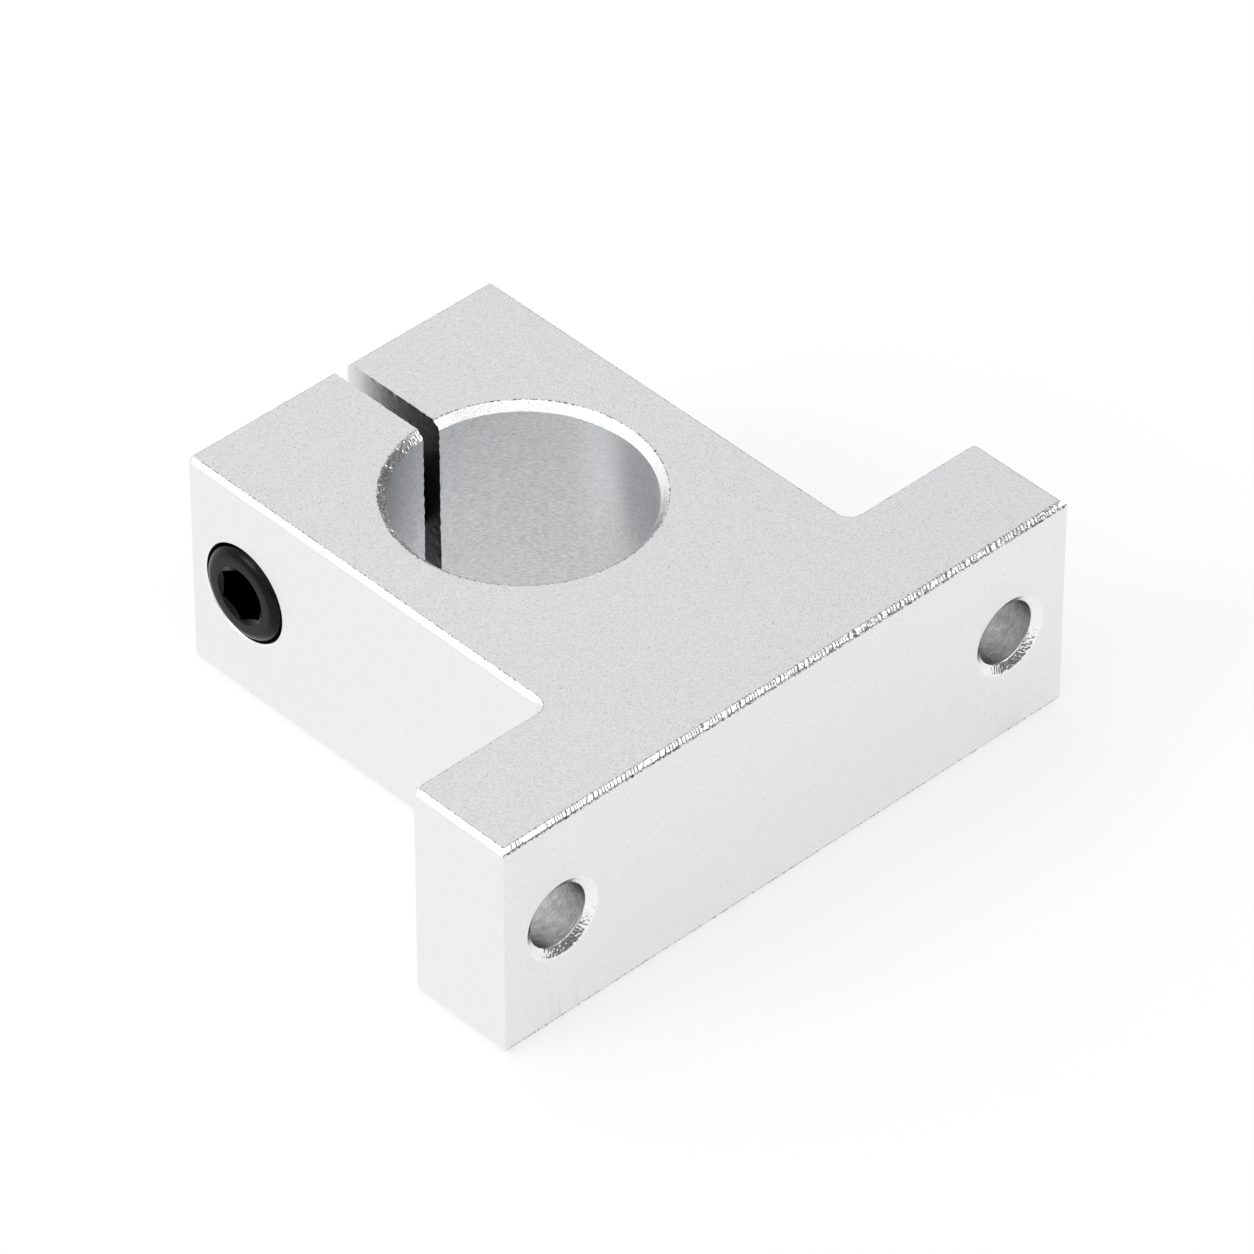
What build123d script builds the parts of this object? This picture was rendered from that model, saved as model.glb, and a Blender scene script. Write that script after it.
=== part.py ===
from build123d import *
import math
import os

# Shaft support block for a 25 mm shaft, cut from aluminium bar in the shape of an inverted T,
# with a slit above the bore and one socket head screw that draws the two jaws together.
# The block lies on its side. All sizes are in millimetres.
# X runs along the base and Y from the base to the slit end. Z runs along the shaft.
# The origin is on the bore's axis, half way through the block.

# Bore and the metal round it
bore_diameter = 25.0
bore_flare = 0.8                # 45 degree chamfer at both mouths of the bore
shaft_height = 35.0             # bore axis above the base face
side_wall = 6.5                 # metal between the bore and each side of the body
block_thickness = 24.0          # length of the block along the shaft
slit_width = 2.0
slit_edge_break = 0.12          # burr taken off the slit's edges

# Feet
foot_thickness = 12.0
hole_diameter = 6.6             # clears an M6 mounting bolt
hole_to_body_side = 9.0         # room for the bolt's head beside the body
hole_to_foot_end = 7.0
hole_flare_width = 0.95
drill_point_angle = 118.0       # the holes are broken with a drill, so their flares have its angle

# Edges of the sawn and milled outline
edge_bevel = 0.5
corner_radius = 0.8             # jaw corners and upper corners of the feet
root_radius = 1.2               # between the feet and the body

# Clamp screw, M6 with a hexagon socket
thread_diameter = 6.0
head_overhang = 2.0             # how far the head stands out round the shank
head_rim_radius = 0.8
socket_width = 5.0              # across the flats
socket_depth = 3.2
socket_flare = 0.15             # chamfer that cuts the mouth's six corners
tip_bevel = 0.7

# How the clamp screw sits in the jaws
head_side_gap = 0.2
head_sink = 0.4                 # head's face below the side of the body
counterbore_flare = 0.15
shank_gap = 0.3                 # round the shank in the near jaw
thread_gap = 0.08               # round the thread in the far jaw, whose thread is drawn plain
thread_mouth_flare = 0.5
tip_inset = 6.6                 # screw's tip inside the far side of the body
bore_to_screw_wall = 1.7        # metal between the bore and the shank's hole
screw_to_end_wall = 2.3         # metal between the counterbore and the slit end

# What follows from the sizes above
bore_radius = bore_diameter / 2
half_thickness = block_thickness / 2
half_body = bore_radius + side_wall
half_base = half_body + hole_to_body_side + hole_to_foot_end
hole_x = half_body + hole_to_body_side
base_y = -shaft_height
foot_top_y = base_y + foot_thickness
thread_radius = thread_diameter / 2
head_radius = thread_radius + head_overhang
head_height = thread_diameter   # a socket head is as high as its thread is wide
shank_hole_radius = thread_radius + shank_gap
counterbore_radius = head_radius + head_side_gap
screw_y = bore_radius + bore_to_screw_wall + shank_hole_radius
end_y = screw_y + counterbore_radius + screw_to_end_wall
head_face_x = -half_body + head_sink
seat_x = head_face_x + head_height
tip_x = half_body - tip_inset
half_drill_angle = math.radians(drill_point_angle / 2)


def turned(*points):
    """A solid of revolution about Z from the points of its half section, as (radius, z)."""
    half_section = make_face(Polyline(*points, close=True))
    return revolve(Plane.XZ * half_section, Axis.Z)


def flared_hole(radius, length, flare_width, flare_depth):
    """What is cut away for a round hole along Z, centred on the origin and flared at both ends."""
    half = length / 2
    mouth = radius + flare_width
    return turned(
        (0, -half),
        (mouth, -half),
        (radius, -half + flare_depth),
        (radius, half - flare_depth),
        (mouth, half),
        (0, half),
    )


def outline():
    """The T that the bar is cut to, with rounded jaw corners, foot corners and roots."""
    feet = Pos(0, (base_y + foot_top_y) / 2) * Rectangle(2 * half_base, foot_thickness)
    body = Pos(0, (base_y + end_y) / 2) * Rectangle(2 * half_body, end_y - base_y)
    shape = feet + body
    rows = shape.vertices().group_by(Axis.Y)
    jaw_corners = rows[-1]
    foot_row = rows[-2].sort_by(Axis.X)
    foot_corners = [foot_row[0], foot_row[-1]]
    roots = foot_row[1:-1]
    shape = fillet(jaw_corners + foot_corners, corner_radius)
    near_roots = [shape.vertices().sort_by_distance(Vector(*root))[0] for root in roots]
    return fillet(near_roots, root_radius)


def bar():
    """The plain T, with both flat faces bevelled all round."""
    blank = extrude(outline(), half_thickness, both=True)
    layers = blank.edges().group_by(Axis.Z)
    return chamfer(layers[0] + layers[-1], edge_bevel)


def slit():
    """The saw cut from the bore to the end, with a little taken off its edges at both flat faces."""
    length = end_y + edge_bevel
    half_slit = slit_width / 2
    half_mouth = half_slit + slit_edge_break
    neck = half_thickness - slit_edge_break
    section = Polyline(
        (-half_mouth, -half_thickness),
        (half_mouth, -half_thickness),
        (half_slit, -neck),
        (half_slit, neck),
        (half_mouth, half_thickness),
        (-half_mouth, half_thickness),
        (-half_slit, neck),
        (-half_slit, -neck),
        close=True,
    )
    return extrude(Plane.XZ * make_face(section), -length)


def mounting_holes():
    """Two plain holes through the feet, broken at both ends with a drill."""
    flare_depth = hole_flare_width / math.tan(half_drill_angle)
    hole = flared_hole(hole_diameter / 2, foot_thickness, hole_flare_width, flare_depth)
    middle_y = (base_y + foot_top_y) / 2
    return [Pos(side * hole_x, middle_y, 0) * Rot(90, 0, 0) * hole for side in (-1, 1)]


def along_screw(solid):
    """Puts a solid made about Z on the clamp screw's axis, with its +Z along +X."""
    return Pos(0, screw_y, 0) * Rot(0, 90, 0) * solid


def screw_hole():
    """The counterbore and shank hole of the near jaw and the threaded hole of the far jaw."""
    thread_hole_radius = thread_radius + thread_gap
    cut = turned(
        (0, -half_body),
        (counterbore_radius + counterbore_flare, -half_body),
        (counterbore_radius, -half_body + counterbore_flare),
        (counterbore_radius, seat_x),
        (shank_hole_radius, seat_x),
        (shank_hole_radius, 0),
        (thread_hole_radius, 0),
        (thread_hole_radius, half_body - thread_mouth_flare),
        (thread_hole_radius + thread_mouth_flare, half_body),
        (0, half_body),
    )
    return along_screw(cut)


def support_block():
    """The block with everything cut in it."""
    bore = flared_hole(bore_radius, block_thickness, bore_flare, bore_flare)
    return bar() - bore - slit() - mounting_holes() - screw_hole()


def socket():
    """The hexagon socket: broached sides, a drilled conical end and a flared mouth."""
    corner_radius_of_hexagon = socket_width / math.sqrt(3)
    hexagon = RegularPolygon(corner_radius_of_hexagon, 6)
    sides = Pos(0, 0, head_face_x) * extrude(hexagon, socket_depth)
    floor_z = head_face_x + socket_depth
    drilled = turned(
        (0, floor_z),
        (socket_width / 2, floor_z),
        (0, floor_z + socket_width / 2 / math.tan(half_drill_angle)),
    )
    mouth = corner_radius_of_hexagon + socket_flare
    flare = turned(
        (0, head_face_x),
        (mouth, head_face_x),
        (0, head_face_x + mouth / math.tan(half_drill_angle)),
    )
    return sides + drilled + flare


def clamp_screw():
    """The screw, turned with its rounded head rim and pointed tip, then broached."""
    blank = turned(
        (0, head_face_x),
        (head_radius, head_face_x),
        (head_radius, seat_x),
        (thread_radius, seat_x),
        (thread_radius, tip_x - tip_bevel),
        (thread_radius - tip_bevel, tip_x),
        (0, tip_x),
    )
    rim = blank.edges().group_by(Axis.Z)[0]
    return along_screw(fillet(rim, head_rim_radius) - socket())


os.makedirs("parts", exist_ok=True)
export_step(support_block(), "parts/support_block.step")
export_step(clamp_screw(), "parts/clamp_screw.step")
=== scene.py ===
import math

import bmesh
import bpy
from mathutils import Matrix, Vector, noise


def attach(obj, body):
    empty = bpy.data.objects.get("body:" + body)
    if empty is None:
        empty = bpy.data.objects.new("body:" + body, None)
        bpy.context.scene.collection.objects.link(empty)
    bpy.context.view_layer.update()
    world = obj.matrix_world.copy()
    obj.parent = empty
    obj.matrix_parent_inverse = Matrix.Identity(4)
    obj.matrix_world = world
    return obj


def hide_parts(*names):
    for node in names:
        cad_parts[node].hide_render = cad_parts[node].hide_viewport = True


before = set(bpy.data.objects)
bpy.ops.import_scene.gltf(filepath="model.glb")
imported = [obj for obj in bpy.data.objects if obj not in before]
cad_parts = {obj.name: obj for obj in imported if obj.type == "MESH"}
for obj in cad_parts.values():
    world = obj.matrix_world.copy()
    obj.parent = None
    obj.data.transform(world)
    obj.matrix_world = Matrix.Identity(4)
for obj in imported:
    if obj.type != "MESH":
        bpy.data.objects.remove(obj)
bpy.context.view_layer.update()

# Shaft support block and its clamp screw. Shapes are made in millimetres, in the frame of the CAD
# model, and scaled to metres when each piece is done. X runs along the base, Y from the base face
# to the slit end, Z along the shaft, and the origin is on the bore's axis half way through.
mm = 0.001

# Block
half_thickness = 12.0
half_body = 19.0
half_base = 35.0
base_y = -35.0
foot_top_y = -23.0
end_y = 25.0
edge_bevel = 0.5            # round both flats
corner_radius = 0.8
root_radius = 1.2           # between a foot and the body
corner_steps = 8
base_corner_break = 0.12    # file stroke on the two corners of the base face
# The softened strips below take the dark torn line, which is partly painted shade. Along the base's bottom
# edge it is a painted contact shadow.
edge_softness = 0.06        # torn or deburred line along the edges of a bevel
base_edge_softness = 0.11   # the same where a bevel meets the base face

# Bore, slit and mounting holes
bore_radius = 12.5
bore_flare = 0.8
half_slit = 1.0
hole_x = 28.0
hole_radius = 3.3
hole_flare_width = 0.95
flare_lip = 0.07            # bright corner that the flaring drill leaves in a hole
half_drill_angle = math.radians(59)

# Clamp screw, M6, with its axis along X
screw_y = 17.5
head_face_x = -19.45
seat_x = -12.6
tip_x = 12.4
head_radius = 5.0
head_rim_radius = 1.1
socket_width = 5.0
socket_depth = 3.2
socket_flare = 0.15
thread_radius = 3.0
thread_pitch = 1.0
tip_bevel = 0.7
plain_shank = 2.0           # under the head, where the die stops
under_head_radius = 0.25
shank_hole_radius = 3.3
counterbore_radius = 5.2
counterbore_flare = 0.15
thread_gap = 0.08
thread_mouth_flare = 0.5
round_steps = 144           # faces round the screw

# Finishes of the block, in the order of its material slots
blasted, milled, base, bevelled, bored, drilled, sawn, torn_and_shaded = range(8)

# What brings the lit paper to white for the camera and the metal
paper_lift = 0.64

# The tent's brightness at each height, as the sine of the angle above the table, on its four sides
tent_heights = [0.0, 0.2, 0.42, 0.67, 1.0]
tent_top = 1.3
tent_sides = [
    ((1, 0, 0), [0.15, 0.1, 0.2, 0.5]),
    ((0, 1, 0), [0.8, 1.05, 1.15, 0.9]),
    ((-1, 0, 0), [0.6, 0.8, 1.15, 1.0]),
    ((0, -1, 0), [0.15, 0.1, 0.25, 1.0]),
]


# Shapes
def bevel(bm, edges, width, steps=1):
    """Cuts a flat bevel, or a round one in several steps, along the edges."""
    bmesh.ops.bevel(
        bm, geom=edges, offset=width, offset_type="OFFSET", segments=steps,
        profile=0.5, affect="EDGES", material=-1, clamp_overlap=False,
    )


def pushed_out(outline, travel):
    """A closed solid from the points of a flat outline, pushed out along its travel."""
    bm = bmesh.new()
    section = bm.faces.new([bm.verts.new(point) for point in outline])
    grown = bmesh.ops.extrude_face_region(bm, geom=[section])["geom"]
    far = [item for item in grown if isinstance(item, bmesh.types.BMVert)]
    bmesh.ops.translate(bm, vec=travel, verts=far)
    bmesh.ops.recalc_face_normals(bm, faces=bm.faces)
    return bm


def between(start, end, parts):
    """Points that part the line from start to end evenly, without its end."""
    return [Vector(start).lerp(Vector(end), i / parts) for i in range(parts)]


def both_mouths(upper):
    """The half section of a through hole, from the points of its upper mouth."""
    lower = [Vector((radius, -z)) for radius, z in reversed(upper)]
    return [Vector((0, lower[0].y))] + lower + upper + [Vector((0, upper[-1].y))]


def arc(centre, radius, first, last, parts):
    """Points of a half section along an arc. Its angles are in degrees, 0 outwards and 90 up."""
    angles = [math.radians(first + (last - first) * i / parts) for i in range(parts + 1)]
    return [Vector((centre[0] + radius * math.cos(a), centre[1] + radius * math.sin(a))) for a in angles]


def spun(section, steps, wall=0, rest=0):
    """A closed solid spun about Z from its half section. Faces along the axis get the wall's finish."""
    bm = bmesh.new()
    line = [bm.verts.new((radius, 0, z)) for radius, z in section]
    edges = [bm.edges.new(pair) for pair in zip(line, line[1:])]
    bmesh.ops.spin(
        bm, geom=line + edges, cent=(0, 0, 0), axis=(0, 0, 1), dvec=(0, 0, 0),
        angle=2 * math.pi, steps=steps, use_merge=True, use_duplicate=False,
    )
    bmesh.ops.remove_doubles(bm, verts=bm.verts, dist=1e-5)
    bmesh.ops.recalc_face_normals(bm, faces=bm.faces)
    for face in bm.faces:
        face.material_index = wall if abs(face.normal.z) < 0.1 else rest
    return bm


def along_screw(bm):
    """Lays what was spun about Z on the clamp screw's axis, with its +Z along +X."""
    bmesh.ops.transform(bm, matrix=Matrix.Rotation(math.radians(90), 4, "Y"), verts=bm.verts)
    bmesh.ops.translate(bm, vec=(0, screw_y, 0), verts=bm.verts)
    return bm


def solid(name, bm):
    """An object with the bmesh as its mesh, still in millimetres."""
    mesh = bpy.data.meshes.new(name)
    bm.to_mesh(mesh)
    bm.free()
    piece = bpy.data.objects.new(name, mesh)
    bpy.context.scene.collection.objects.link(piece)
    return piece


def combine(piece, bm, operation="DIFFERENCE"):
    """Cuts a tool's shape out of the piece, joins it on, or keeps what they share. The manifold
    solver is the one that gives the same result each time with marks as fine as these."""
    tool = solid("tool", bm)
    for material in piece.data.materials:
        tool.data.materials.append(material)
    cut = piece.modifiers.new("cut", "BOOLEAN")
    cut.operation = operation
    cut.solver = "MANIFOLD"
    cut.object = tool
    shaped = piece.evaluated_get(bpy.context.evaluated_depsgraph_get())
    piece.data = bpy.data.meshes.new_from_object(shaped)
    piece.modifiers.clear()
    bpy.data.objects.remove(tool)
    if not piece.data.polygons:
        raise RuntimeError(f"a cut left nothing of the {piece.name}")


def finished(piece, sharp_over):
    """Scales the piece to metres and shades it smooth, with edges sharp over an angle in degrees."""
    bm = bmesh.new()
    bm.from_mesh(piece.data)
    bmesh.ops.remove_doubles(bm, verts=bm.verts, dist=1e-5)
    bmesh.ops.scale(bm, vec=(mm, mm, mm), verts=bm.verts)
    for face in bm.faces:
        face.smooth = True
    bm.to_mesh(piece.data)
    bm.free()
    piece.data.set_sharp_from_angle(angle=math.radians(sharp_over))
    weighted = piece.modifiers.new("flats stay flat", "WEIGHTED_NORMAL")
    weighted.keep_sharp = True
    weighted.weight = 100
    return piece


# Support block
def bar():
    """The T-shaped bar, with its outline milled and both flats bevelled all round."""
    corners = [
        (-half_base, base_y), (half_base, base_y), (half_base, foot_top_y), (half_body, foot_top_y),
        (half_body, end_y), (-half_body, end_y), (-half_body, foot_top_y), (-half_base, foot_top_y),
    ]
    bm = pushed_out([(x, y, -half_thickness) for x, y in corners], (0, 0, 2 * half_thickness))

    def upright(is_here):
        """The outline's edges along Z at the corners that is_here accepts."""
        found = []
        for edge in bm.edges:
            first, second = (v.co for v in edge.verts)
            if (first - second).xy.length < 1e-6 and is_here(abs(first.x), first.y):
                found.append(edge)
        return found

    bevel(bm, upright(lambda x, y: x < half_body + 1 and y < end_y - 1), root_radius, corner_steps)
    bevel(bm, upright(lambda x, y: y > end_y - 1e-3), corner_radius, corner_steps)
    bevel(bm, upright(lambda x, y: x > half_base - 1e-3 and y > base_y + 1), corner_radius, corner_steps)

    # A face's lean is its normal's size along Z: 0 on the outline, 1 on the flats, 0.71 on a bevel
    upright_face, flat_face = 0.1, 0.9

    def rims(is_edge):
        """Edges whose two faces have leans that is_edge accepts, the smaller one first."""
        return [e for e in bm.edges if is_edge(*sorted(abs(f.normal.z) for f in e.link_faces))]

    def in_base_face(edge):
        return all(abs(v.co.y - base_y) < 1e-3 for v in edge.verts)

    def side_of_bevel(low, high):
        return low < upright_face < high < flat_face

    bevel(bm, rims(lambda low, high: low < upright_face and high > flat_face), edge_bevel)
    both_sides = rims(lambda low, high: side_of_bevel(low, high) or upright_face < low < flat_face < high)
    bevel(bm, [e for e in both_sides if not in_base_face(e)], edge_softness)
    bevel(bm, [e for e in rims(side_of_bevel) if in_base_face(e)], base_edge_softness)
    bevel(bm, upright(lambda x, y: x > half_base - 1 and y < base_y + 1), base_corner_break, 3)
    for face in bm.faces:
        lean = abs(face.normal.z)
        # Strips where a bevel meets the base face take the dark torn line too. Along the bottom edge this
        # dark line is a painted contact shadow where the block sits on the floor.
        softened_at_base = upright_face < lean < 0.6 and face.normal.y < -0.8
        if lean > 0.99:
            face.material_index = blasted
        elif lean > 0.8 or softened_at_base:
            face.material_index = torn_and_shaded
        elif lean > upright_face:
            face.material_index = bevelled
        elif face.normal.y < -0.99:
            face.material_index = base
        else:
            face.material_index = milled
    return bm


def chatter(x, across):
    """Height of the chatter marks on a base bevel, as a share of their usual height: slanting
    ripples that come and go, with torn bits between them. Both get stronger towards +X. Across
    goes from 0 at the flat to 1 at the base face."""
    spacing, patch, slow_drift = 0.42, 0.9, 2.0
    bit_along, bit_across = 0.17, 0.35
    slant = 0.5
    drift = noise.noise(Vector((x / slow_drift, 0, 3.1)))
    reach = (x + half_base) / (2 * half_base)
    strength = 0.34 + 0.7 * reach + 0.8 * noise.noise(Vector((x / patch, 7.7, 0)))
    ripple = math.sin(2 * math.pi * (x / spacing + slant * across + 2.5 * drift))
    torn = noise.noise(Vector((x / bit_along, across / bit_across, 1.3)))
    return max(strength, 0.0) * ripple + (0.3 + 1.8 * reach) * torn


def rough_base_bevels(bm):
    """Cuts the two long bevels of the base into a fine grid and gives them the marks of a cutter
    that chattered. Where a bevel meets a flat or the base face its edge wanders only in that face."""
    column, rows = 0.065, 5
    edge_wander = 0.075
    mark_height = 0.036
    smooth_end = 0.7            # left at each end of the base
    lower_shift = 34            # so that the lower bevel isn't a copy of the upper one
    bevel_top_y = base_y + edge_bevel + 0.1
    bevel_inner_z = half_thickness - edge_bevel - 0.1
    longest = 2 * half_base - 3
    long_edges = [e for e in bm.edges if e.calc_length() > longest and e.verts[0].co.y < base_y + 1]
    bmesh.ops.subdivide_edges(bm, edges=long_edges, cuts=int(2 * half_base / column), use_grid_fill=True)
    cross = [
        e for e in bm.edges
        if 0.8 * edge_bevel < e.calc_length() < 2 * edge_bevel
        and all(v.co.y < bevel_top_y and abs(v.co.x) < half_base for v in e.verts)
    ]
    bmesh.ops.subdivide_edges(bm, edges=cross, cuts=rows - 1, use_grid_fill=True)
    for v in bm.verts:
        x, y, z = v.co
        if y > bevel_top_y or abs(z) < bevel_inner_z or abs(x) > half_base - smooth_end:
            continue
        side = math.copysign(1, z)
        across = (base_y + edge_bevel - y) / edge_bevel
        height = chatter(side * x + lower_shift * (1 - side) / 2, across)
        if abs(abs(z) - half_thickness) < 1e-4:
            v.co.y += edge_wander * height
        elif abs(y - base_y) < 1e-4:
            v.co.z += edge_wander * side * height
        else:
            v.co += mark_height * height * Vector((0, -1, side)).normalized()


def flare_marks(bm, mouth_z, direction, height):
    """Moves what was spun near both mouths along the flare's normal, by a height in millimetres.
    Direction is that normal's size inwards and along Z."""
    for v in bm.verts:
        radius = v.co.xy.length
        if abs(v.co.z) < mouth_z or radius < 1e-3:
            continue
        out = v.co.xy.normalized()
        side = math.copysign(1, v.co.z)
        normal = Vector((-out.x * direction[0], -out.y * direction[0], side * direction[1]))
        v.co += normal * height(math.atan2(v.co.y, v.co.x), radius, side)


def bore():
    """What the boring bar and its 45 degree flaring tool take out."""
    steps, rows = 1200, 10
    over = 0.4
    torn_line = Vector((0.16, 0.066))
    flare_start = Vector((bore_radius, half_thickness - bore_flare))
    flare_end = Vector((bore_radius + bore_flare - edge_softness, half_thickness - edge_softness))
    line_end = flare_end + torn_line
    upper = between(flare_start, flare_end, rows) + [flare_end, line_end, line_end + Vector((over, over / 2))]
    bm = spun(both_mouths(upper), steps, wall=bored, rest=bevelled)
    # The torn line round each mouth takes the same dashed dark grey: partly torn metal, partly painted shade.
    for face in bm.faces:
        if face.calc_center_median().xy.length > flare_end.x:
            face.material_index = torn_and_shaded

    def marks(angle, radius, side):
        """Torn bits, deepest on the side of the screw's head, on a slow swell."""
        bit_along, bit_across, swell = 0.15, 0.14, 1.6
        place = Vector((math.cos(angle), math.sin(angle), side)) * bore_radius
        torn = noise.noise(place / bit_along + Vector((0, 0, radius / bit_across)))
        broad = noise.noise(place / swell)
        depth = 0.02 + 0.085 * max(-math.cos(angle), 0)
        return depth * torn * (1 + broad) + 0.006 * broad

    flare_marks(bm, half_thickness - bore_flare + 0.02, (0.707, 0.707), marks)
    return bm


def mounting_hole(x):
    """What the drill takes out for one mounting hole, with a flare at each end by a larger drill."""
    steps, rows = 400, 9
    middle = (base_y + foot_top_y) / 2
    half = (foot_top_y - base_y) / 2
    slope = math.tan(half_drill_angle)
    flare_start = Vector((hole_radius, half - hole_flare_width / slope))
    flare_end = Vector((hole_radius + hole_flare_width - edge_softness, half - edge_softness / slope))
    beyond = flare_end + 0.6 * Vector((1, 0.3))
    lip = [flare_start - Vector((0, flare_lip)), flare_start + Vector((flare_lip * 0.6, flare_lip * 0.2))]
    upper = lip + between(flare_start, flare_end, rows)[1:] + [flare_end, beyond]
    bm = spun(both_mouths(upper), steps, wall=drilled, rest=bevelled)

    def marks(angle, radius, side):
        """Fine slanting ridges, with torn bits on the side where the drill chattered."""
        ridges, flare_radius = 74, 4
        bit_along, bit_across, drift = 0.19, 0.17, 0.9
        chattered_side = -1.3
        twist = 0.5 * (radius - hole_radius)
        place = Vector((math.cos(angle), math.sin(angle), side)) * flare_radius + Vector((x, 0, 0))
        ridge = math.sin(ridges * (angle + twist) + 5 * noise.noise(place / drift))
        torn = noise.noise(place / bit_along + Vector((0, 0, radius / bit_across)))
        chattered = max(math.cos(angle - chattered_side), 0)
        return 0.003 * ridge + (0.004 + 0.046 * chattered) * torn

    flare_marks(bm, flare_start.y + 0.02, (math.cos(half_drill_angle), math.sin(half_drill_angle)), marks)
    bmesh.ops.transform(bm, matrix=Matrix.Rotation(math.radians(90), 4, "X"), verts=bm.verts)
    bmesh.ops.translate(bm, vec=(x, middle, 0), verts=bm.verts)
    return bm


def slit():
    """What the slitting saw takes out, from the bore to the end, with ragged edges."""
    over = 0.6
    step = 0.24
    mark_along, mark_deep = 0.34, 0.45
    raggedness = 0.13
    ragged_band = 0.8           # in from the flats and from the bore
    inside_share = 0.2
    top = half_thickness + over
    outline = [(-half_slit, -top), (half_slit, -top), (half_slit, top), (-half_slit, top)]
    bm = pushed_out([(x, 0, z) for x, z in outline], (0, end_y + over, 0))
    along = [e for e in bm.edges if e.calc_length() > end_y - 1]
    bmesh.ops.subdivide_edges(bm, edges=along, cuts=int(end_y / step), use_grid_fill=True)
    tall = [e for e in bm.edges if abs(e.verts[0].co.z - e.verts[1].co.z) > half_thickness]
    bmesh.ops.subdivide_edges(bm, edges=tall, cuts=int(2 * half_thickness / step), use_grid_fill=True)
    for v in bm.verts:
        saw = noise.noise(Vector((v.co.x, v.co.y / mark_along, v.co.z / mark_deep)))
        from_flat = max(half_thickness - abs(v.co.z), 0)
        from_bore = abs(v.co.y - bore_radius)
        near_edge = max(inside_share, 1 - from_flat / ragged_band, 1 - from_bore / ragged_band)
        v.co.x += raggedness * saw * near_edge
    for face in bm.faces:
        face.material_index = sawn
    return bm


def counterbore():
    """The counterbore for the screw's head and the clearance hole of the near jaw."""
    side = -half_body
    soft = edge_softness
    over = 0.5
    seat_corner = 0.2
    section = [
        (0, side - over),
        (counterbore_radius + counterbore_flare + 2 * soft + over, side - over / 2),
        (counterbore_radius + counterbore_flare - soft, side + soft),
        (counterbore_radius, side + counterbore_flare),
        (counterbore_radius, seat_x - seat_corner),
        (counterbore_radius - seat_corner, seat_x),
        (shank_hole_radius, seat_x),
        (shank_hole_radius, 0),
        (0, 0),
    ]
    return along_screw(spun(section, 192, wall=drilled, rest=bevelled))


def thread(first, last, grow=0.0):
    """A rod with the screw's 60 degree thread, spun like a screw from first to last along Z."""
    turn_steps = 72
    lid_height = 0.5
    crest = thread_radius + grow
    root_flat, crest_flat = thread_pitch / 4, thread_pitch / 8
    flank = (thread_pitch - root_flat - crest_flat) / 2
    root = crest - flank * math.tan(math.radians(60))
    stops = [
        (root, 0), (root, root_flat), (crest, root_flat + flank),
        (crest, root_flat + flank + crest_flat), (root, thread_pitch),
    ]
    bm = bmesh.new()
    line = [bm.verts.new((radius, 0, first + z)) for radius, z in stops]
    edges = [bm.edges.new(pair) for pair in zip(line, line[1:])]
    turns = math.ceil((last - first) / thread_pitch)
    bmesh.ops.spin(
        bm, geom=line + edges, cent=(0, 0, 0), axis=(0, 0, 1), dvec=(0, 0, thread_pitch / turn_steps),
        angle=2 * math.pi * turns, steps=turns * turn_steps, use_merge=False, use_duplicate=False,
    )
    bmesh.ops.remove_doubles(bm, verts=bm.verts, dist=1e-4)
    open_edges = [e for e in bm.edges if e.is_boundary]
    lids = bmesh.ops.extrude_edge_only(bm, edges=open_edges)["geom"]
    length = (turns + 1) * thread_pitch
    for v in [item for item in lids if isinstance(item, bmesh.types.BMVert)]:
        at_first = v.co.z < first + length / 2
        v.co = (0, 0, first - lid_height if at_first else first + length + lid_height)
    bmesh.ops.remove_doubles(bm, verts=bm.verts, dist=1e-4)
    bmesh.ops.recalc_face_normals(bm, faces=bm.faces)
    for face in bm.faces:
        face.material_index = drilled
    return bm


def thread_mouth():
    """The countersink where the tapped hole comes out of the far side."""
    side = half_body
    over = 0.5
    mouth = thread_radius + thread_gap + thread_mouth_flare
    section = [(0, side - mouth), (mouth, side), (mouth + over, side + over), (0, side + over)]
    return along_screw(spun(section, round_steps, wall=bevelled, rest=bevelled))


def support_block(finishes):
    """The block with everything cut in it."""
    bm = bar()
    rough_base_bevels(bm)
    block = solid("block", bm)
    for finish in finishes:
        block.data.materials.append(finish)
    combine(block, bore())
    combine(block, slit())
    combine(block, mounting_hole(-hole_x))
    combine(block, mounting_hole(hole_x))
    combine(block, counterbore())
    combine(block, along_screw(thread(-2, half_body + 1, thread_gap)))
    combine(block, thread_mouth())
    return finished(block, sharp_over=32)


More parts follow.
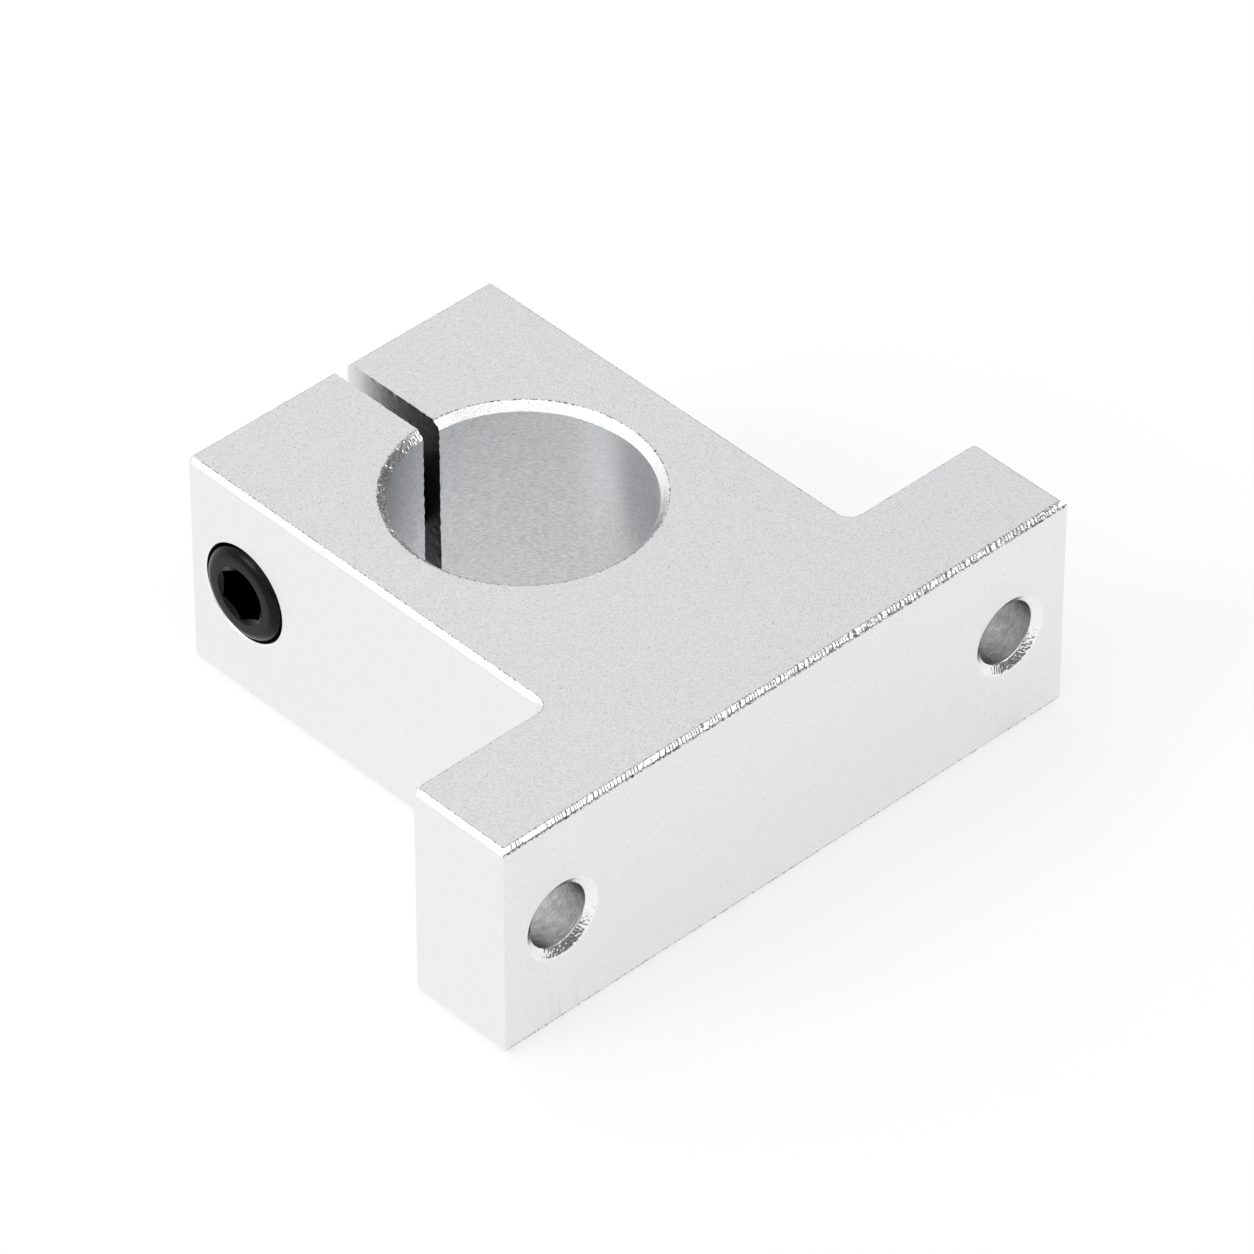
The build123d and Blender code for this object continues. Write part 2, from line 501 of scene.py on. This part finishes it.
# Clamp screw
def clamp_screw(finish):
    """The screw: a turned head on a short plain shank, the rolled thread, and the broached socket."""
    edge_break = 0.1
    blank_point = 0.6           # cone on the blank, hidden in the threaded rod
    clear = 0.3
    neck_x = seat_x + plain_shank
    rim_centre = (head_radius - head_rim_radius, head_face_x + head_rim_radius)
    under_centre = (thread_radius + under_head_radius, seat_x + under_head_radius)
    blank = [(0, head_face_x)] + arc(rim_centre, head_rim_radius, -90, 0, 10)
    blank += [(head_radius, seat_x - edge_break), (head_radius - edge_break, seat_x)]
    blank += arc(under_centre, under_head_radius, -90, -180, 4) + [(thread_radius, neck_x)]
    blank += [(thread_radius - blank_point, neck_x + blank_point), (0, neck_x + blank_point)]
    screw = solid("screw", spun(blank, round_steps))

    rod = solid("rod", thread(neck_x - 1.2, tip_x + 1))
    rod_start_x = neck_x - 0.1
    rod_radius = thread_radius + clear
    rod_bounds = [
        (0, rod_start_x), (rod_radius, rod_start_x), (rod_radius, tip_x - tip_bevel - clear),
        (thread_radius - tip_bevel, tip_x), (0, tip_x),
    ]
    combine(rod, spun(rod_bounds, round_steps), "INTERSECT")
    threaded = bmesh.new()
    threaded.from_mesh(rod.data)
    bpy.data.objects.remove(rod)
    combine(screw, threaded, "UNION")

    slope = math.tan(half_drill_angle)
    corner = socket_width / math.sqrt(3)
    floor_x = head_face_x + socket_depth
    front_x = head_face_x - 0.5
    hexagon = [(0, front_x), (corner, front_x), (corner, floor_x), (0, floor_x)]
    combine(screw, spun(hexagon, 6))
    drill_radius = socket_width / 2
    drill = [(0, floor_x - clear), (drill_radius, floor_x - clear), (drill_radius, floor_x)]
    combine(screw, spun(drill + [(0, floor_x + drill_radius / slope)], 96))
    mouth = corner + socket_flare
    flare = [(0, head_face_x - clear), (mouth + clear * slope, head_face_x - clear)]
    combine(screw, spun(flare + [(0, head_face_x + mouth / slope)], round_steps))

    bm = bmesh.new()
    bm.from_mesh(screw.data)
    along_screw(bm)
    for face in bm.faces:
        face.material_index = 0
    bm.to_mesh(screw.data)
    bm.free()
    screw.data.materials.clear()
    screw.data.materials.append(finish)
    return finished(screw, sharp_over=28)


# Materials
def linear(colour):
    """A colour written as sRGB hex, as the linear values that the sockets take."""
    parts = [int(colour[i:i + 2], 16) / 255 for i in (1, 3, 5)]
    return [p / 12.92 if p <= 0.04045 else ((p + 0.055) / 1.055) ** 2.4 for p in parts] + [1]


def add(tree, kind, links=None, **settings):
    """Adds a node with its settings. Links gives its inputs, each a value or another node's output."""
    node = tree.nodes.new("ShaderNode" + kind)
    for name, value in settings.items():
        setattr(node, name, value)
    for name, value in (links or {}).items():
        if isinstance(value, bpy.types.NodeSocket):
            tree.links.new(value, node.inputs[name])
        else:
            node.inputs[name].default_value = value
    return node


def per(size):
    """A pattern's scale from the size of its features in millimetres."""
    return 1 / (size * mm)


def new_material(name):
    """An empty material with its Principled shader wired to the output."""
    material = bpy.data.materials.new(name)
    material.use_nodes = True
    tree = material.node_tree
    tree.nodes.clear()
    shader = add(tree, "BsdfPrincipled")
    add(tree, "OutputMaterial", {"Surface": shader.outputs["BSDF"]})
    return material, tree, shader


def grain(tree, stretch, detail=3.0, roughness=0.6):
    """Noise whose features have the given sizes in millimetres along X, Y and Z."""
    place = add(tree, "TexCoord").outputs["Object"]
    sized = add(tree, "Mapping", {"Vector": place, "Scale": [per(s) for s in stretch]})
    return add(
        tree, "TexNoise",
        {"Vector": sized.outputs["Vector"], "Scale": 1.0, "Detail": detail, "Roughness": roughness},
    ).outputs["Fac"]


def ranged(tree, value, low, high, first, last):
    """Brings a value from low..high to first..last."""
    return add(
        tree, "MapRange",
        {"Value": value, "From Min": low, "From Max": high, "To Min": first, "To Max": last},
    ).outputs["Result"]


def aluminium(
    name, dark, light, mottle, mottle_range, roughness, bumps, roughness_swing=0.06, pits=0.0,
):
    """Bare aluminium: a colour that goes from dark to light with its mottle, a roughness that swings
    with it, one or more bumps, each a grain with its height in millimetres, and single pits about
    0.17 mm across, darker by the share that pits gives."""
    pit_size = (0.17, 0.17, 0.17)
    material, tree, shader = new_material(name)
    speckle = grain(tree, mottle, detail=4.0, roughness=0.65)
    colour = add(
        tree, "MixRGB",
        {"Fac": ranged(tree, speckle, *mottle_range, 0, 1), "Color1": linear(dark), "Color2": linear(light)},
    ).outputs["Color"]
    if pits:
        spots = ranged(tree, grain(tree, pit_size, detail=1.0), 0.66, 0.72, 0, pits)
        pitted = add(tree, "MixRGB", {"Fac": spots, "Color1": colour, "Color2": linear("#3a3b3c")})
        colour = pitted.outputs["Color"]
    tree.links.new(colour, shader.inputs["Base Color"])
    shader.inputs["Metallic"].default_value = 1
    swing = ranged(tree, speckle, *mottle_range, roughness + roughness_swing, roughness - roughness_swing)
    tree.links.new(swing, shader.inputs["Roughness"])
    normal = None
    for size, height in bumps:
        links = {"Height": grain(tree, size), "Distance": height * mm, "Strength": 1.0}
        if normal:
            links["Normal"] = normal
        normal = add(tree, "Bump", links).outputs["Normal"]
    tree.links.new(normal, shader.inputs["Normal"])
    return material


def blasted_aluminium():
    """6061 bar, glass bead blasted: a pale matt skin of dimples about 0.2 mm across, with single
    lighter and darker ones. It gives the eye a fine even sparkle and no direction."""
    return aluminium(
        "blasted_aluminium", "#dedfe1", "#f8f8f9", (0.18, 0.18, 0.18), (0.33, 0.67), 0.5,
        [((0.2, 0.2, 0.2), 0.013), ((0.6, 0.6, 0.6), 0.012)], pits=0.35,
    )


def milled_aluminium():
    """The same bar, fly-cut and lightly blasted: much smoother, nearly even, with a faint drift."""
    return aluminium(
        "milled_aluminium", "#ececec", "#f2f2f2", (0.3, 0.3, 0.3), (0.3, 0.7), 0.36,
        [((0.3, 0.3, 0.3), 0.006)], 0.03,
    )


def base_aluminium():
    """The base face, ground flat and blasted: even, with a few dark pin pricks."""
    return aluminium(
        "base_aluminium", "#e9e9eb", "#f5f5f6", (0.2, 0.2, 0.2), (0.3, 0.7), 0.38,
        [((0.25, 0.25, 0.25), 0.010)], 0.04, pits=0.3,
    )


def cut_aluminium():
    """Bevels and flares cut after blasting: bare bright metal with fine torn marks."""
    return aluminium(
        "cut_aluminium", "#eeeff0", "#fcfcfc", (0.15, 0.15, 0.15), (0.3, 0.7), 0.19,
        [((0.13, 0.13, 0.13), 0.009)], 0.05, pits=0.35,
    )


def torn_and_shaded_aluminium():
    """The thin torn line where a cutter left the metal at a bevel's edge: grey, in dashes, and also painted
    shade there. Along the base face's bottom edge it is a painted contact shadow.
    """
    return aluminium(
        "torn_and_shaded_aluminium", "#4c4d4f", "#e8e9ea", (0.3, 0.3, 0.3), (0.38, 0.56), 0.36,
        [((0.2, 0.2, 0.2), 0.012)],
    )


def bored_aluminium():
    """The bore's wall: feed marks round the bore, which draw every light out along the shaft into
    an upright sheen and are seen as short level flecks. The real marks are about 0.05 mm apart, too
    fine to show, so they are drawn twice as coarse."""
    material = aluminium(
        "bored_aluminium", "#d2d4d6", "#f7f8f9", (0.5, 0.5, 0.11), (0.34, 0.66), 0.38,
        [((0.45, 0.45, 0.11), 0.02), ((0.8, 0.8, 0.3), 0.012)],
    )
    tree = material.node_tree
    shader = tree.nodes["Principled BSDF"]
    shader.inputs["Anisotropic"].default_value = 0.9
    along_shaft = add(tree, "CombineXYZ", {"Z": 1.0}).outputs["Vector"]
    tree.links.new(along_shaft, shader.inputs["Tangent"])
    return material


def drilled_aluminium():
    """Walls left by a drill: duller, with rings and a few scores and stuck flecks."""
    return aluminium(
        "drilled_aluminium", "#cbcccd", "#eeeeee", (0.9, 0.4, 0.9), (0.32, 0.62), 0.30,
        [((0.6, 0.12, 0.6), 0.006), ((1.2, 0.6, 1.2), 0.008)],
    )


def sawn_aluminium():
    """Walls of the slit, as the slitting saw leaves them: dull, scored along the slit. Towards the open end
    they are painted paler over a few millimetres, a painted light where light reaches into the slit."""
    material = aluminium(
        "sawn_aluminium", "#8c8e90", "#b9bbbd", (0.3, 1.2, 0.12), (0.3, 0.7), 0.32,
        [((0.3, 1.2, 0.12), 0.012)],
    )
    tree = material.node_tree
    lit_reach = 6
    colour = tree.nodes["Principled BSDF"].inputs["Base Color"]
    bare = colour.links[0].from_socket
    along = add(tree, "SeparateXYZ", {"Vector": add(tree, "TexCoord").outputs["Object"]}).outputs["Y"]
    lit_share = ranged(tree, along, (end_y - lit_reach) * mm, end_y * mm, 0, 1)
    # Painted light: the walls turn paler towards the open end of the slit, where the light gets in.
    pale = add(tree, "MixRGB", {"Fac": lit_share, "Color1": bare, "Color2": linear("#e2e3e4")})
    tree.links.new(pale.outputs["Color"], colour)
    return material


def black_oxide_steel():
    """Black oxide on alloy steel: nearly black, with the soft sheen of its oil film and a fine
    grain of the forged and tumbled head."""
    material, tree, shader = new_material("black_oxide_steel")
    speckle = grain(tree, (0.2, 0.2, 0.2), detail=4.0)
    mottle = ranged(tree, speckle, 0.3, 0.7, 0, 1)
    colour = add(
        tree, "MixRGB", {"Fac": mottle, "Color1": linear("#1a1a1c"), "Color2": linear("#28282a")},
    )
    tree.links.new(colour.outputs["Color"], shader.inputs["Base Color"])
    shader.inputs["Metallic"].default_value = 1
    tree.links.new(ranged(tree, speckle, 0.3, 0.7, 0.20, 0.28), shader.inputs["Roughness"])
    tumbled = grain(tree, (0.18, 0.18, 0.18))
    bump = add(tree, "Bump", {"Height": tumbled, "Distance": 0.004 * mm, "Strength": 1.0})
    tree.links.new(bump.outputs["Normal"], shader.inputs["Normal"])
    return material


# Floor, light and camera
def floor():
    """A sheet of white paper. To the camera and in the metal it is white, and it keeps its shadow."""
    half_width = 2000
    bm = bmesh.new()
    bmesh.ops.create_grid(bm, x_segments=1, y_segments=1, size=half_width)
    bmesh.ops.translate(bm, vec=(0, 0, -half_thickness), verts=bm.verts)
    bmesh.ops.scale(bm, vec=(mm, mm, mm), verts=bm.verts)
    sheet = solid("paper", bm)
    material = bpy.data.materials.new("white_paper")
    material.use_nodes = True
    tree = material.node_tree
    tree.nodes.clear()
    paper = add(tree, "BsdfDiffuse", {"Color": linear("#9f9f9f")})
    ray = add(tree, "LightPath").outputs
    seen = add(tree, "Math", {0: ray["Is Camera Ray"], 1: ray["Is Glossy Ray"]}, operation="MAXIMUM")
    seen = add(tree, "Math", {0: seen.outputs[0], 1: ray["Is Transmission Ray"]}, operation="MAXIMUM")
    lift = add(tree, "Math", {0: seen.outputs[0], 1: paper_lift}, operation="MULTIPLY")
    glow = add(tree, "Emission", {"Color": linear("#ffffff"), "Strength": lift.outputs[0]})
    both = add(tree, "AddShader", {0: paper.outputs[0], 1: glow.outputs[0]})
    add(tree, "OutputMaterial", {"Surface": both.outputs[0]})
    sheet.data.materials.append(material)


def softbox(name, direction, distance, size, radiance):
    """A square soft light that shines on the block from a direction. Sizes are in metres, and
    radiance is its brightness as seen."""
    lamp = bpy.data.lights.new(name, "AREA")
    lamp.size = size
    lamp.energy = radiance * math.pi * size * size
    box = bpy.data.objects.new(name, lamp)
    place = Vector(direction).normalized()
    box.location = place * distance
    box.rotation_euler = place.to_track_quat("Z", "Y").to_euler()
    bpy.context.scene.collection.objects.link(box)


def studio():
    """A white tent round the table, bright overhead, behind the slit end and on the side of the
    screw's head, and dim on the other two, with two soft boxes that the bevels and the bore shine with."""
    world = bpy.data.worlds.new("tent")
    bpy.context.scene.world = world
    world.use_nodes = True
    tree = world.node_tree
    tree.nodes.clear()
    way = add(tree, "SeparateXYZ", {"Vector": add(tree, "TexCoord").outputs["Generated"]}).outputs
    level_way = add(tree, "CombineXYZ", {"X": way["X"], "Y": way["Y"]}).outputs["Vector"]
    level_way = add(tree, "VectorMath", {0: level_way}, operation="NORMALIZE").outputs["Vector"]
    tent = None
    for toward, levels in tent_sides:
        facing = add(tree, "VectorMath", {0: level_way, 1: toward}, operation="DOT_PRODUCT").outputs["Value"]
        facing = add(tree, "Math", {0: facing, 1: 0.0}, operation="MAXIMUM").outputs["Value"]
        share = add(tree, "Math", {0: facing, 1: 2.0}, operation="POWER").outputs["Value"]
        wall = add(tree, "ValToRGB", {"Fac": way["Z"]})
        stops = wall.color_ramp.elements
        for height in tent_heights[1:-1]:
            stops.new(height)
        for stop, level in zip(stops, levels + [tent_top]):
            stop.color = (level, level, level, 1)
        light = add(tree, "Math", {0: wall.outputs["Color"], 1: share}, operation="MULTIPLY").outputs["Value"]
        if tent:
            light = add(tree, "Math", {0: tent, 1: light}, operation="ADD").outputs["Value"]
        tent = light
    glow = add(tree, "Background", {"Color": linear("#ffffff"), "Strength": tent})
    add(tree, "OutputWorld", {"Surface": glow.outputs["Background"]})
    softbox("left softbox", (-0.78, 0.30, 0.54), 2.0, 0.9, 3.6)
    softbox("right softbox", (0.48, -0.67, 0.56), 2.0, 0.5, 2.4)


def camera():
    """The photo's view, from the camera fitted to the block's corners."""
    turn, tilt, distance = math.radians(-43.404), math.radians(40.397), 853.3
    aim = Vector((3.419, -10.086, 0))
    back = Vector((math.sin(turn) * math.cos(tilt), -math.cos(turn) * math.cos(tilt), math.sin(tilt)))
    lens = bpy.data.cameras.new("camera")
    lens.lens = 267.86
    lens.sensor_width = 36
    lens.clip_start = 0.01
    lens.clip_end = 20
    eye = bpy.data.objects.new("camera", lens)
    eye.location = (aim + distance * back) * mm
    eye.rotation_euler = (math.pi / 2 - tilt, 0, turn)
    bpy.context.scene.collection.objects.link(eye)
    bpy.context.scene.camera = eye


camera()
studio()
floor()
bpy.context.scene.view_settings.view_transform = "Standard"

block = support_block([
    blasted_aluminium(), milled_aluminium(), base_aluminium(), cut_aluminium(),
    bored_aluminium(), drilled_aluminium(), sawn_aluminium(), torn_and_shaded_aluminium(),
])
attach(block, "support_block")
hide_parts("support_block")

screw = clamp_screw(black_oxide_steel())
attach(screw, "clamp_screw")
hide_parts("clamp_screw")
